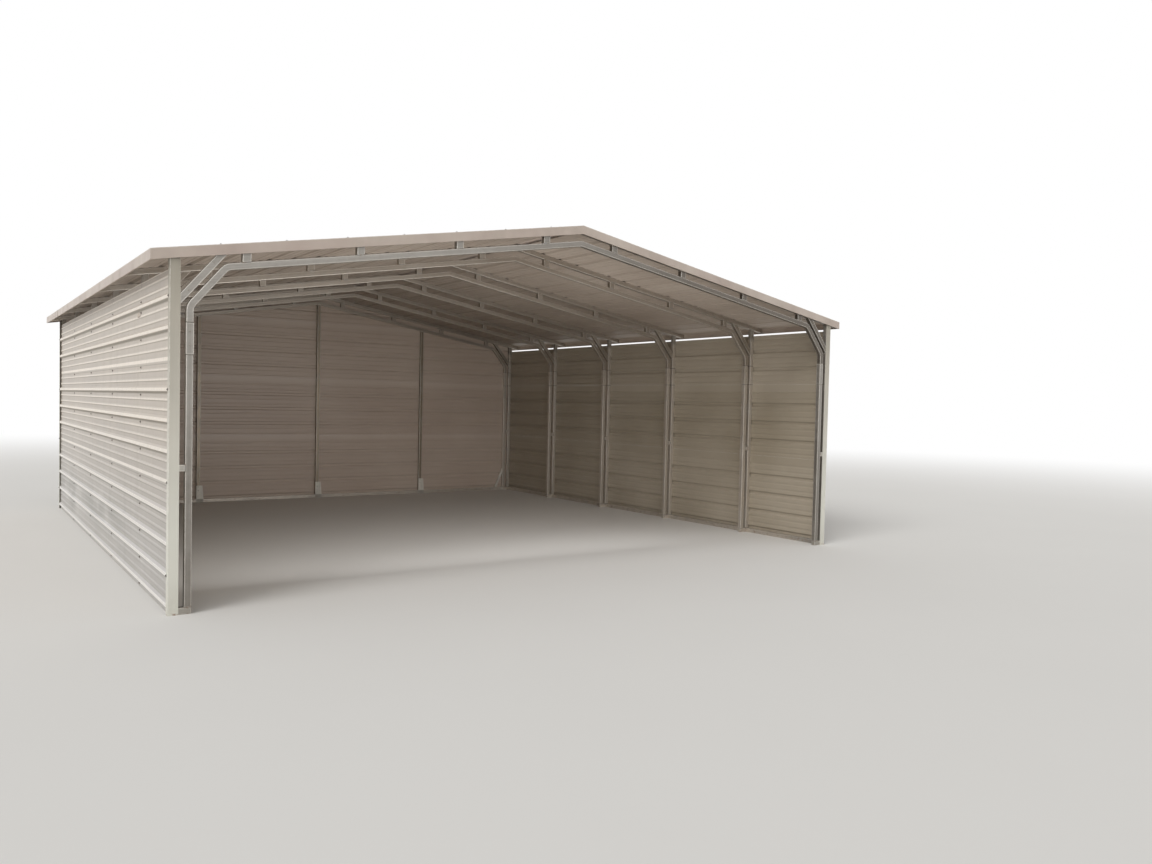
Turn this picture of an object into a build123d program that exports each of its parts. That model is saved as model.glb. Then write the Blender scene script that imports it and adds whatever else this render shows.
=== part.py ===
from build123d import *

# Three-sided steel carport: doubled square-tube frames under ribbed sheet walls and roof.
# Millimetres. X runs across the opening, Y from the open front to the closed back, +Z up.
# The origin is on the floor, under the middle of the roof.

import os
from math import cos, hypot, radians, sin, tan

# Overall sizes
carport_width = 7315.2
bays = (1219.2, 1524.0, 1524.0, 1524.0, 1524.0)
leg_height = 2625.0
roof_angle = 9.8
side_overhang = 135.0
front_overhang = 20.0
back_overhang = 280.0

# Square tube, and the clear gaps between the outer and the inner tube of a frame
tube = 50.8
leg_gap = 44.0
rafter_gap = 70.0
knee_gap = 32.0

# Inner bows: the lower bend lies this far under the leg height
bend_drop = 343.0
bend_angle = 50.4
bend_radius = 95.0
bow_tail = 123.0
sleeve_length = 234.0
sleeve_lip = 2.0

# Spacers between the tubes of a frame
leg_spacer_height = 1087.0
rafter_spacer_length = 66.0
rafter_spacer_start = 544.0
rafter_spacer_step = 905.0

# Back wall posts, the brackets at their feet and the braces in the back corners
post_spacing = 1828.8
bracket_height = 205.0
bracket_top = 87.0
bracket_foot = 104.0
bracket_lip = 3.0
bracket_thickness = 3.0
brace_rise = 345.0
brace_run = 150.0
brace_width = 32.0

# Holes for the ground anchors, through the base rails
anchor_radius = 7.0
anchor_offset = 150.0
back_anchor_offset = 250.0

# Ribbed sheet: two low ribs between each pair of high ones
sheet_thickness = 1.0
rib_spacing = 228.6
rib_height = 19.0
rib_base = 60.0
rib_top = 22.0
low_rib_height = 4.0
low_rib_base = 32.0
low_rib_top = 14.0
ribs_per_sheet = 4
first_rib = 64.0
wall_top_gap = 71.0
sheet_gap = 0.5

# Trims
trim_thickness = 1.0
trim_cover = 7.0
trim_hem = 12.0
corner_trim_width = 75.0
corner_trim_return = 55.0
corner_trim_gap = 2.0
rake_flange = 60.0
eave_flange = 40.0
ridge_cap_wing = 150.0
ridge_cap_cover = 60.0

# Values that follow from those above
half_width = carport_width / 2
slope = tan(radians(roof_angle))
roof_cos = cos(radians(roof_angle))
rib_depth = rib_height + sheet_thickness
wall_face = half_width - rib_depth
leg_x = wall_face - tube / 2
inner_leg_x = leg_x - tube - leg_gap
eave_x = half_width + side_overhang
eave_inside = eave_x - trim_thickness
ridge_height = leg_height + tube / roof_cos + slope * wall_face
bow_depth = tube + rafter_gap
frame_depth = sum(bays) + tube
roof_length = frame_depth + front_overhang + back_overhang
roof_front = -roof_length / 2
roof_back = roof_length / 2
frame_front = roof_front + front_overhang
frame_back = frame_front + frame_depth
frame_ys = [frame_front + tube / 2 + sum(bays[:n]) for n in range(len(bays) + 1)]
back_y = frame_ys[-1]
bend_height = leg_height - bend_drop
bow_foot = bend_height - bow_tail
leg_top = bow_foot - sleeve_length
sheet_step = ribs_per_sheet * rib_spacing
first_lap = first_rib + sheet_step + rib_base / 2
trim_depth = (tube + rib_depth + trim_thickness) / roof_cos + trim_cover


def roof_z(x, depth=0.0):
    """Height, at x, of the line that runs depth below the tops of the outer rafters."""
    return ridge_height - slope * abs(x) - depth / roof_cos


def prism(outline, start, end):
    """A solid with an X-Z outline that runs along Y from start to end."""
    face = Face(Wire.make_polygon([(x, start, z) for x, z in outline], close=True))
    return extrude(face, amount=end - start, dir=(0, 1, 0))


def box(x, y, z):
    """A box between two limits on each axis."""
    centre = [(low + high) / 2 for low, high in (x, y, z)]
    return Pos(*centre) * Box(*[abs(high - low) for low, high in (x, y, z)])


def at_frame(outline, y):
    """A tube seen as an X-Z outline, at the frame whose centre is at y."""
    return prism(outline, y - tube / 2, y + tube / 2)


def upright(x, low, depth, y):
    """An upright tube at x whose top is cut to the line depth below the rafters' tops."""
    left, right = x - tube / 2, x + tube / 2
    tops = [right, 0.0, left] if left < 0 < right else [right, left]
    return at_frame([(left, low), (right, low)] + [(top, roof_z(top, depth)) for top in tops], y)


def rising(start, depth):
    """Where a line that rises inwards from start meets the line depth below the rafters."""
    rise, run = sin(radians(bend_angle)), cos(radians(bend_angle))
    length = (roof_z(start[0], depth) - start[1]) / (rise - slope * run)
    return start[0] - length * run, start[1] + length * rise


def left_of(shapes):
    """The same pieces on the left side."""
    return [mirror(shape, about=Plane.YZ) for shape in shapes]


def save(name, shapes):
    """Writes one piece, or one set of like pieces, to a STEP file."""
    solids = [solid for shape in shapes for solid in shape.solids()]
    export_step(Compound(solids) if len(solids) > 1 else solids[0], f"parts/{name}.step")


# Tubes of the frames
def outer_legs():
    return [upright(leg_x, tube, tube, y) for y in frame_ys]


def inner_legs():
    x = (inner_leg_x - tube / 2, inner_leg_x + tube / 2)
    return [box(x, (y - tube / 2, y + tube / 2), (tube, leg_top)) for y in frame_ys]


def leg_sleeves():
    half = tube / 2 + sleeve_lip
    x = (inner_leg_x - half, inner_leg_x + half)
    return [box(x, (y - tube / 2, y + tube / 2), (leg_top, bow_foot)) for y in frame_ys]


def leg_spacers():
    x = (inner_leg_x + tube / 2, leg_x - tube / 2)
    z = (leg_spacer_height - tube / 2, leg_spacer_height + tube / 2)
    return [box(x, (y - tube / 2, y + tube / 2), z) for y in frame_ys]


def foot_tubes():
    x = (inner_leg_x - tube / 2, leg_x - tube / 2)
    return [box(x, (y - tube / 2, y + tube / 2), (0, tube)) for y in frame_ys]


def outer_rafters():
    outline = [(0, roof_z(0)), (eave_inside, roof_z(eave_inside)),
               (eave_inside, roof_z(eave_inside, tube)), (0, roof_z(0, tube))]
    return [at_frame(outline, y) for y in frame_ys]


def rafter_spacers():
    outlines = []
    x = half_width - rafter_spacer_start
    while x > rafter_spacer_length:
        low, high = x - rafter_spacer_length / 2, x + rafter_spacer_length / 2
        outlines.append([(low, roof_z(low, tube)), (high, roof_z(high, tube)),
                         (high, roof_z(high, bow_depth)), (low, roof_z(low, bow_depth))])
        x -= rafter_spacer_step
    return [at_frame(outline, y) for y in frame_ys for outline in outlines]


def knee_braces():
    across, up = sin(radians(bend_angle)), cos(radians(bend_angle))
    face = leg_x - tube / 2
    ends = []
    for offset in (knee_gap + tube / 2, knee_gap + 3 * tube / 2):
        x, z = inner_leg_x + across * offset, bend_height + up * offset
        foot = (face, z + (x - face) * tan(radians(bend_angle)))
        ends.append((foot, rising(foot, tube)))
    (low_foot, low_head), (high_foot, high_head) = ends
    return [at_frame([low_foot, low_head, high_head, high_foot], y) for y in frame_ys]


def inner_bow(y):
    """One bent tube from leg to leg, mitred at the ridge."""
    lower = (inner_leg_x, bend_height)
    upper = rising(lower, bow_depth + tube / 2)
    past_ridge = (-tube, upper[1] + slope * (upper[0] + tube))
    points = [(inner_leg_x, bow_foot), lower, upper, past_ridge]
    path = FilletPolyline(*[(x, y, z) for x, z in points], radius=bend_radius)
    section = Plane(origin=(inner_leg_x, y, bow_foot), x_dir=(0, 1, 0), z_dir=(0, 0, 1))
    half = sweep(section * Rectangle(tube, tube), path=path)
    past = box((-3 * tube, 0), (y - tube, y + tube), (0, 2 * ridge_height))
    half = half - past
    return half + mirror(half, about=Plane.YZ)


# Base rails, and the posts of the back wall
def side_rail():
    rail = box((leg_x - tube / 2, leg_x + tube / 2), (frame_front, frame_back), (0, tube))
    hole_ys = [y + anchor_offset for y in frame_ys[:-1]] + [back_y - back_anchor_offset]
    for y in hole_ys:
        rail -= Pos(leg_x, y, tube / 2) * Cylinder(anchor_radius, 2 * tube)
    return rail


def back_rail():
    end = inner_leg_x - tube / 2
    rail = box((-end, end), (back_y - tube / 2, back_y + tube / 2), (0, tube))
    for x in (-post_spacing / 2, post_spacing / 2):
        rail -= Pos(x, back_y, tube / 2) * Cylinder(anchor_radius, 2 * tube)
    return rail


def post_xs():
    count = int((inner_leg_x - brace_run - bracket_foot) // post_spacing)
    return [n * post_spacing for n in range(-count, count + 1)]


def back_posts():
    return [upright(x, tube, bow_depth + tube, back_y) for x in post_xs()]


def post_brackets():
    """Tapered plates on the front of the posts, over the face of the back rail as well."""
    brackets = []
    for x in post_xs():
        left = x - tube / 2 - bracket_lip
        outline = [(left, 0), (left + bracket_foot, 0), (left + bracket_foot, tube),
                   (left + bracket_top, tube + bracket_height), (left, tube + bracket_height)]
        front = back_y - tube / 2
        brackets.append(prism(outline, front - bracket_thickness, front))
    return brackets


def corner_braces():
    """Short diagonals from the inner back legs down to the back rail."""
    x = inner_leg_x - tube / 2
    length = hypot(brace_run, brace_rise)
    down, along = brace_width * length / brace_run, brace_width * length / brace_rise
    outline = [(x, tube + brace_rise), (x, tube + brace_rise - down),
               (x - brace_run + along, tube), (x - brace_run, tube)]
    brace = prism(outline, back_y - brace_width / 2, back_y + brace_width / 2)
    return [brace] + left_of([brace])


# Ribbed sheets
def ribbed(start, end, first):
    """Section of a ribbed sheet: along it from start to end, and out from its flat back."""
    shapes = [(0, rib_base, rib_top, rib_height)]
    shapes += [(n * rib_spacing / 3, low_rib_base, low_rib_top, low_rib_height) for n in (1, 2)]
    points = []
    count = int(abs(end - start) / rib_spacing) + 2
    for n in range(int((start - first) // rib_spacing), int((start - first) // rib_spacing) + count + 1):
        for shift, base, top, height in shapes:
            centre = first + n * rib_spacing + shift
            if start <= centre - base / 2 and centre + base / 2 <= end:
                points += [(centre - base / 2, 0), (centre - top / 2, height),
                           (centre + top / 2, height), (centre + base / 2, 0)]
    line = [(start, 0)] + [point for point in points if start < point[0] < end] + [(end, 0)]
    return line + [(along, out + sheet_thickness) for along, out in reversed(line)]


def courses(length):
    """Where each sheet begins and ends along a wall or roof of this length, from its foot."""
    low, high, spans = 0.0, first_lap, []
    while high < length:
        spans.append((low, high - sheet_gap))
        low, high = high, high + sheet_step
    return spans + [(low, length)]


def side_sheets():
    sheets = []
    for low, high in courses(leg_height - wall_top_gap):
        outline = [(wall_face + out, along) for along, out in ribbed(low, high, first_rib)]
        sheets.append(prism(outline, frame_front, frame_back))
    return sheets


def back_sheets():
    """Sheets of the back wall, cut to the roof at their tops."""
    under_roof = [(-wall_face, 0), (wall_face, 0), (wall_face, roof_z(wall_face)),
                  (0, roof_z(0)), (-wall_face, roof_z(wall_face))]
    gable = prism(under_roof, frame_back - rib_depth, frame_back + 2 * rib_depth)
    sheets = []
    for low, high in courses(ridge_height):
        section = [(-wall_face, frame_back + out, along) for along, out in ribbed(low, high, first_rib)]
        face = Face(Wire.make_polygon(section, close=True))
        sheets.append(extrude(face, amount=2 * wall_face, dir=(1, 0, 0)) & gable)
    return sheets


def roof_sheets():
    """Sheets of one slope, laid from the eave up to where the ridge cap covers their ends."""
    eave = (eave_inside - rib_depth * slope) / roof_cos
    sheets = []
    for low, high in courses(eave - ridge_cap_cover):
        outline = []
        for along, out in ribbed(low, high, first_rib):
            down = eave - along
            x = down * roof_cos + out * sin(radians(roof_angle))
            outline.append((x, ridge_height - down * sin(radians(roof_angle)) + out * roof_cos))
        sheets.append(prism(outline, roof_front, roof_back))
    return sheets


# Trims
def corner_trim(face_y, inward):
    """An angle over a corner; its face lies on face_y and its return runs along the wall."""
    outer_x = half_width + trim_thickness
    outer_y = face_y - inward * trim_thickness
    top = roof_z(outer_x, tube) - corner_trim_gap
    face = box((outer_x - corner_trim_width, outer_x), sorted((outer_y, face_y)), (0, top))
    back = sorted((outer_y, outer_y + inward * corner_trim_return))
    return face + box((half_width, outer_x), back, (0, top))


def rake_trim(end_y, inward):
    """The folded trim over the end of one slope; its face lies on end_y."""
    top = -(rib_depth + trim_thickness)
    face = [(0, roof_z(0, top)), (eave_x, roof_z(eave_x, top)),
            (eave_x, roof_z(eave_x, top) - trim_depth), (0, roof_z(0, top) - trim_depth)]
    start, stop = ridge_cap_wing, eave_x - eave_flange
    flange = [(start, roof_z(start, top)), (stop, roof_z(stop, top)),
              (stop, roof_z(stop, -rib_depth)), (start, roof_z(start, -rib_depth))]
    low = [(x, roof_z(x, top) - trim_depth) for x in (0, eave_inside - trim_hem)]
    hem = low + [(x, z + trim_thickness) for x, z in reversed(low)]
    outer = sorted((end_y - inward * trim_thickness, end_y))
    trim = prism(face, *outer)
    trim += prism(flange, *sorted((end_y, end_y + inward * rake_flange)))
    return trim + prism(hem, *sorted((end_y, end_y + inward * trim_hem)))


def eave_trim():
    top = -(rib_depth + trim_thickness)
    flange_x = eave_x - eave_flange
    bottom = roof_z(eave_x, top) - trim_depth
    outline = [(eave_x, roof_z(eave_x, top)), (eave_x, bottom),
               (eave_x - trim_hem, bottom), (eave_x - trim_hem, bottom + trim_thickness),
               (eave_inside, bottom + trim_thickness), (eave_inside, roof_z(eave_inside, -rib_depth)),
               (flange_x, roof_z(flange_x, -rib_depth)), (flange_x, roof_z(flange_x, top))]
    return prism(outline, roof_front, roof_back)


def ridge_cap():
    top = -(rib_depth + trim_thickness)
    xs = (-ridge_cap_wing, 0, ridge_cap_wing)
    outline = [(x, roof_z(x, -rib_depth)) for x in xs]
    outline += [(x, roof_z(x, top)) for x in reversed(xs)]
    return prism(outline, roof_front, roof_back)


os.makedirs("parts", exist_ok=True)

rail = side_rail()
save("base_rail_right", [rail])
save("base_rail_left", left_of([rail]))
save("base_rail_back", [back_rail()])

for name, pieces in (("outer_legs", outer_legs()), ("inner_legs", inner_legs()),
                     ("outer_rafters", outer_rafters()), ("rafter_spacers", rafter_spacers()),
                     ("knee_braces", knee_braces()), ("wall_sheets", side_sheets()),
                     ("roof_sheets", roof_sheets())):
    save(f"{name}_right", pieces)
    save(f"{name}_left", left_of(pieces))

for name, pieces in (("leg_sleeves", leg_sleeves()), ("leg_spacers", leg_spacers()),
                     ("foot_tubes", foot_tubes())):
    save(name, pieces + left_of(pieces))

for number, y in enumerate(frame_ys, start=1):
    save(f"inner_bow_{number}", [inner_bow(y)])

save("back_posts", back_posts())
save("post_brackets", post_brackets())
save("corner_braces", corner_braces())
save("wall_sheets_back", back_sheets())

save("ridge_cap", [ridge_cap()])
save("eave_trim_right", [eave_trim()])
save("eave_trim_left", left_of([eave_trim()]))
for name, end_y, inward in (("front", roof_front, 1), ("back", roof_back, -1)):
    trim = rake_trim(end_y, inward)
    save(f"rake_trim_{name}_right", [trim])
    save(f"rake_trim_{name}_left", left_of([trim]))
for name, face_y, inward in (("front", frame_front, 1), ("back", frame_back + rib_depth, -1)):
    trim = corner_trim(face_y, inward)
    save(f"corner_trims_{name}", [trim] + left_of([trim]))
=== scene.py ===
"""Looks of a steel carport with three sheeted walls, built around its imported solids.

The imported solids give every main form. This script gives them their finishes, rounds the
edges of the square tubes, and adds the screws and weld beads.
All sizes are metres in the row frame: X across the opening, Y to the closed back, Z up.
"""

import logging
import math
import random
from collections.abc import Callable, Iterable, Iterator, Sequence
from dataclasses import dataclass, field
from enum import Enum
from functools import partial

import bpy
from mathutils import Matrix, Vector


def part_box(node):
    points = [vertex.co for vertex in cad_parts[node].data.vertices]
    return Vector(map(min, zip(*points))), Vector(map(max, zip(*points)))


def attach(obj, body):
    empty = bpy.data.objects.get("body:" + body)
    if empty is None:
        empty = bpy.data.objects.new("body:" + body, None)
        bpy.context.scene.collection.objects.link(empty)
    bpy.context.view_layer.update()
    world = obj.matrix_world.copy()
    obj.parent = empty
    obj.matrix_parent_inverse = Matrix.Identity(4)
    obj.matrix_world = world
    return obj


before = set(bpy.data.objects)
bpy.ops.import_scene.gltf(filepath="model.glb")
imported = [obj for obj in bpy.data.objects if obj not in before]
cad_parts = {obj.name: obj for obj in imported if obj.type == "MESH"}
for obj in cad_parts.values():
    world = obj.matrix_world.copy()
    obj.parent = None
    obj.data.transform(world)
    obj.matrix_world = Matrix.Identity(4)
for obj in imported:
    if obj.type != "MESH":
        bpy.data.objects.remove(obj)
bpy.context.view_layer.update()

log = logging.getLogger("carport")

Triple = tuple[float, float, float]
Adder = Callable[..., bpy.types.Node]
Output = tuple[bpy.types.Node, int | str]
Coat = tuple[bpy.types.Node, str]
Place = tuple[Vector, Vector]
RED_OXIDE = "#7A5238"


def linear(colour: str) -> tuple[float, float, float, float]:
    """Turns an sRGB hex colour to linear.

    Args:
        colour: the colour as "#RRGGBB".

    Returns:
        Linear red, green and blue, with an alpha of 1.
    """
    parts = [int(colour[n : n + 2], 16) / 255 for n in (1, 3, 5)]
    red, green, blue = (
        part / 12.92 if part <= 0.04045 else ((part + 0.055) / 1.055) ** 2.4
        for part in parts
    )
    return red, green, blue, 1.0


def add_node(
    tree: bpy.types.NodeTree, kind: str, inputs: dict | None = None, **settings: object
) -> bpy.types.Node:
    """Adds one node with its settings and links.

    Args:
        tree: the node tree that receives it.
        kind: Blender's type name without its "ShaderNode" start, and after a space the
            operation of a node that has one.
        inputs: for each input, by name or number, a value, a node whose first output
            is linked, or a pair of a node and an output's name or number.
        settings: the node's other attributes.

    Returns:
        The new node.
    """
    kind, _, operation = kind.partition(" ")
    node = tree.nodes.new("ShaderNode" + kind)
    if operation:
        node.operation = operation
    for name, value in settings.items():
        setattr(node, name, value)
    for key, value in (inputs or {}).items():
        if isinstance(value, bpy.types.Node):
            value = (value, 0)
        if isinstance(value, tuple) and isinstance(value[0], bpy.types.Node):
            tree.links.new(value[0].outputs[value[1]], node.inputs[key])
        else:
            node.inputs[key].default_value = value
    return node


def lay_coats(node: Adder, colour: object, coats: Iterable[Coat]) -> Output:
    """Lays coats over a colour, one over the other.

    Args:
        node: adds a node to the material's tree.
        colour: what they cover, a colour or an output.
        coats: how thick each coat lies, from 0 to 1, and its sRGB colour.

    Returns:
        The colour that shows.
    """
    for share, tone in coats:
        laid = node("Mix", {0: share, 6: colour, 7: linear(tone)}, data_type="RGBA")
        colour = (laid, 2)
    return colour


@dataclass(frozen=True)
class Layout:
    """Where the main lines of the building lie, read from its solids."""

    rib_spacing: float = 0.2286
    first_rib: float = 0.064
    rib_depth: float = 0.020
    sheet_thickness: float = 0.001
    sheet_step: float = 0.9144
    tube: float = 0.0508
    roof_angle: float = math.radians(9.8)
    frames: int = 6

    @property
    def frame_ys(self) -> list[float]:
        """The centres of the frames, from front to back."""
        boxes = [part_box(f"inner_bow_{n}") for n in range(1, self.frames + 1)]
        return [(low.y + high.y) / 2 for low, high in boxes]

    @property
    def wall_face(self) -> float:
        """Distance from the middle to the inside of the side sheets."""
        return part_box("wall_sheets_right")[0].x

    @property
    def side_top(self) -> float:
        """Height of the side walls' top edge."""
        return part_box("wall_sheets_right")[1].z

    @property
    def back_face(self) -> float:
        """The inside of the back sheets."""
        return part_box("wall_sheets_back")[0].y

    @property
    def ridge(self) -> float:
        """Height of the tops of the outer rafters at the ridge."""
        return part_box("outer_rafters_right")[1].z

    @property
    def inner_leg_x(self) -> float:
        """Centre of the inner legs."""
        low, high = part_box("inner_legs_right")
        return (low.x + high.x) / 2

    @property
    def leg_x(self) -> float:
        """Centre of the outer legs."""
        low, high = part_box("outer_legs_right")
        return (low.x + high.x) / 2

    @property
    def post_x(self) -> float:
        """Centre of the right back post."""
        low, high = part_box("back_posts")
        return (high.x - low.x - self.tube) / 2

    @property
    def roof_normal(self) -> Vector:
        """Upward normal of the right roof slope."""
        return Vector((math.sin(self.roof_angle), 0.0, math.cos(self.roof_angle)))

    @property
    def eave(self) -> float:
        """Length of the roof's sheet line from the ridge down to the eave."""
        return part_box("roof_sheets_right")[1].x / math.cos(self.roof_angle)

    def roof_z(self, x: float, depth: float = 0.0) -> float:
        """Height of a line along the roof.

        Args:
            x: distance from the ridge, on either side.
            depth: how far the line lies under the tops of the outer rafters.

        Returns:
            The height in the row frame.
        """
        fall = math.tan(self.roof_angle) * abs(x)
        return self.ridge - fall - depth / math.cos(self.roof_angle)

    def on_roof(self, x: float, y: float, out: float) -> Vector:
        """The point over x and y that lies out above the rafters' tops."""
        return Vector((x, y, self.roof_z(x, -out)))

    def ribs(self, top: float) -> list[float]:
        """Distances of the high ribs from a wall's foot, up to top."""
        count = int((top - self.first_rib) / self.rib_spacing) + 1
        return [self.first_rib + n * self.rib_spacing for n in range(count)]


LAYOUT = Layout()


# Finishes -------------------------------------------------------------------------------


@dataclass(frozen=True)
class Finish:
    """A procedural material, whose layers each kind of finish lays itself."""

    name: str

    def layers(self, node: Adder) -> dict:
        """Lays the nodes.

        Args:
            node: adds a node to the material's tree.

        Returns:
            What goes on the shader's inputs.
        """
        raise NotImplementedError

    def material(self) -> bpy.types.Material:
        """Builds the material, or finds it where it is built already.

        Returns:
            The material, named as the finish.
        """
        made = bpy.data.materials.get(self.name)
        if made is None:
            made = bpy.data.materials.new(self.name)
            made.use_nodes = True
            node = partial(add_node, made.node_tree)
            made.node_tree.nodes.clear()
            shader = node("BsdfPrincipled", self.layers(node))
            node("OutputMaterial", {"Surface": shader})
        return made


class SheetRun(Enum):
    """How ribbed sheets lie: up the sheets, along the ribs, outwards, and rain streaks."""

    SIDE_WALL = ((0.0, 0.0, 1.0), (0.0, 1.0, 0.0), (1.0, 0.0, 0.0), (1.0, 9.0, 0.5))
    BACK_WALL = ((0.0, 0.0, 1.0), (1.0, 0.0, 0.0), (0.0, 1.0, 0.0), (9.0, 1.0, 0.5))
    ROOF = (
        (-math.cos(LAYOUT.roof_angle), 0.0, math.sin(LAYOUT.roof_angle)),
        (0.0, 1.0, 0.0),
        (0.0, 0.0, 1.0),
        (0.5, 9.0, 0.5),
    )


@dataclass(frozen=True)
class Spot:
    """A place on a sheet: its middle and its half sizes, along the ribs and up."""

    middle: tuple[float, float]
    reach: tuple[float, float]


@dataclass(frozen=True)
class SheetMap:
    """What tells where on the ribbed sheets a point lies, and the adder of nodes."""

    node: Adder
    coords: Output
    height: bpy.types.Node
    along: bpy.types.Node
    from_rib: bpy.types.Node
    lean: Output
    inside: bpy.types.Node
    outside: bpy.types.Node
    specks: bpy.types.Node


@dataclass(frozen=True)
class SatinSheetPaint(Finish):
    """Polyester coil paint on roll-formed galvanised sheet.

    The paint is baked on flat before forming, so it is even and satin, with a darker
    coat on the back whose tone, set for each wall, is painted light and shade for the
    light inside. Formed sheet is never quite flat between its ribs. In use the paint rubs
    pale along the ribs and a wall's top edge, where painted highlights lie too, and takes
    clouds of algae and chalk low down, dust, rain streaks and rust at the cut edges and
    screws. Painted shade lies in the crease under each high rib and on the flanks that
    look down, painted highlight on the flanks that look up, and the paint low down is
    painted greyer for the cooler light near the ground.
    """

    run: SheetRun
    screw_pitch: float
    screw_start: float
    up_start: float = 0.0
    top: float = 99.0
    face: str = "#A99E92"
    # A darker back coat; its tone, set for each wall, is painted light and shade for the light
    # inside.
    back: str = "#968B79"
    dust: str = "#EADFD1"
    rubbed_and_highlight: str = "#F0E6D9"
    grime_and_shade: str = "#86837A"
    algae: str = "#6F705A"
    stain: str = "#66594C"
    roughness: float = 0.36
    buckle_height: float = 0.0016
    dent_depth: float = 8.0
    screw_drop: float = 0.045
    flank_dust_and_highlight: float = 0.12
    flank_soot_and_shade: float = 0.42
    groove_dust_and_light: float = 0.0
    foot_warmth: float = 0.4
    smudges: tuple[Spot, ...] = ()
    dents: tuple[Spot, ...] = ()
    marks: tuple[tuple[Spot, str], ...] = ()

    def map_sheets(self, node: Adder) -> SheetMap:
        """Works out where on the sheets a point lies.

        Args:
            node: adds a node to the material's tree.

        Returns:
            The nodes that the layers of the finish read.
        """
        up, side, outward, _ = self.run.value
        coords = (node("TexCoord"), "Object")
        # Both walls and both slopes alike: X counts from the middle outwards.
        mirrored = node("VectorMath ABSOLUTE", {0: coords})
        climb = node("VectorMath DOT_PRODUCT", {0: mirrored, 1: up})
        height = node("Math ADD", {0: (climb, "Value"), 1: self.up_start})
        reach = node("VectorMath DOT_PRODUCT", {0: coords, 1: side})
        along = node("Math SUBTRACT", {0: (reach, "Value"), 1: self.screw_start})
        half = LAYOUT.rib_spacing / 2
        from_first = node("Math SUBTRACT", {0: height, 1: LAYOUT.first_rib})
        from_rib = node("Math WRAP", {0: from_first, 1: half, 2: -half})
        looks = node("SeparateXYZ", {0: (node("NewGeometry"), "True Normal")})
        side_of = node("Math SIGN", {0: (node("SeparateXYZ", {0: coords}), "X")})
        away = node("Math MULTIPLY", {0: (looks, "X"), 1: side_of})
        turned = node("CombineXYZ", {0: away, 1: (looks, "Y"), 2: (looks, "Z")})
        facing = node("VectorMath DOT_PRODUCT", {0: turned, 1: outward})
        inside = node("Math LESS_THAN", {0: (facing, "Value"), 1: 0.0})
        outside = node("Math SUBTRACT", {0: 1.0, 1: inside})
        # Specks about 30 mm wide, which break up every kind of wear.
        specks = node(
            "TexNoise", {"Vector": coords, "Scale": 32.0, "Detail": 6.0, "Roughness": 0.7}
        )
        return SheetMap(
            node, coords, height, along, from_rib, (looks, "Z"), inside, outside, specks
        )

    def oval(self, sheet: SheetMap, spot: Spot) -> bpy.types.Node:
        """Draws a soft oval.

        Args:
            sheet: where on the sheets a point lies.
            spot: where the oval lies.

        Returns:
            The node that gives 1 in the middle of the oval and 0 outside.
        """
        node = sheet.node
        middle = (spot.middle[0] - self.screw_start, spot.middle[1], 0.0)
        place = node("CombineXYZ", {0: sheet.along, 1: sheet.height})
        moved = node("VectorMath SUBTRACT", {0: place, 1: middle})
        scaled = node("VectorMath DIVIDE", {0: moved, 1: (*spot.reach, 1.0)})
        distance = (node("VectorMath LENGTH", {0: scaled}), "Value")
        return node("MapRange", {0: distance, 1: 1.0, 2: 0.0}, interpolation_type="SMOOTHSTEP")

    def fading(self, sheet: SheetMap) -> bpy.types.Node:
        """Works out how faded the paint is: in patches, and a little more on some sheets.

        Args:
            sheet: where on the sheets a point lies.

        Returns:
            The node that gives how far it is faded.
        """
        node = sheet.node
        # Patches a metre or so wide, over one tone a sheet.
        patches = node("TexNoise", {"Vector": sheet.coords, "Scale": 0.9, "Detail": 4.0})
        fade = node("MapRange", {0: patches, 1: 0.3, 2: 0.7, 4: 0.16})
        course = node("Math DIVIDE", {0: sheet.height, 1: LAYOUT.sheet_step})
        course = node("Math FLOOR", {0: course})
        tone = (node("TexWhiteNoise", {"W": course}, noise_dimensions="1D"), "Value")
        return node("Math MULTIPLY_ADD", {0: tone, 1: 0.09, 2: fade})

    def weather(self, sheet: SheetMap) -> tuple[list[Coat], bpy.types.Node]:
        """Works out the algae, the chalk, the dirt and the dust of the weather, and the painted
        shade and highlight on the ribs.

        Args:
            sheet: where on the sheets a point lies.

        Returns:
            The coats, from the lowest, and how dirty and shaded the sheet is.
        """
        node = sheet.node
        # Rain streaks about 110 mm wide that run down the sheet, outdoors only.
        stretched = node("VectorMath MULTIPLY", {0: sheet.coords, 1: self.run.value[3]})
        rain = node("TexNoise", {"Vector": stretched, "Scale": 1.0, "Detail": 4.0})
        streaks = node("MapRange", {0: rain, 1: 0.48, 2: 0.78, 4: 0.13})
        # Painted shade in the crease under each high rib; it is 4 mm wide, drawn 8 mm wide to
        # show.
        to_crease = node("Math ADD", {0: sheet.from_rib, 1: 0.033})
        to_crease = node("Math ABSOLUTE", {0: to_crease})
        crease_shade = node("MapRange", {0: to_crease, 1: 0.0055, 2: 0.002, 4: 0.4})
        dirt_and_shade = node("Math ADD", {0: streaks, 1: crease_shade})
        # Splash from the ground, 300 mm high.
        foot = node(
            "MapRange", {0: sheet.height, 1: 0.3, 2: 0.0, 4: 0.2}, interpolation_type="SMOOTHSTEP"
        )
        dirt_and_shade = node("Math MULTIPLY_ADD", {0: foot, 1: sheet.specks, 2: dirt_and_shade})
        dirt_and_shade = node("Math MULTIPLY", {0: dirt_and_shade, 1: sheet.outside})
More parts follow.
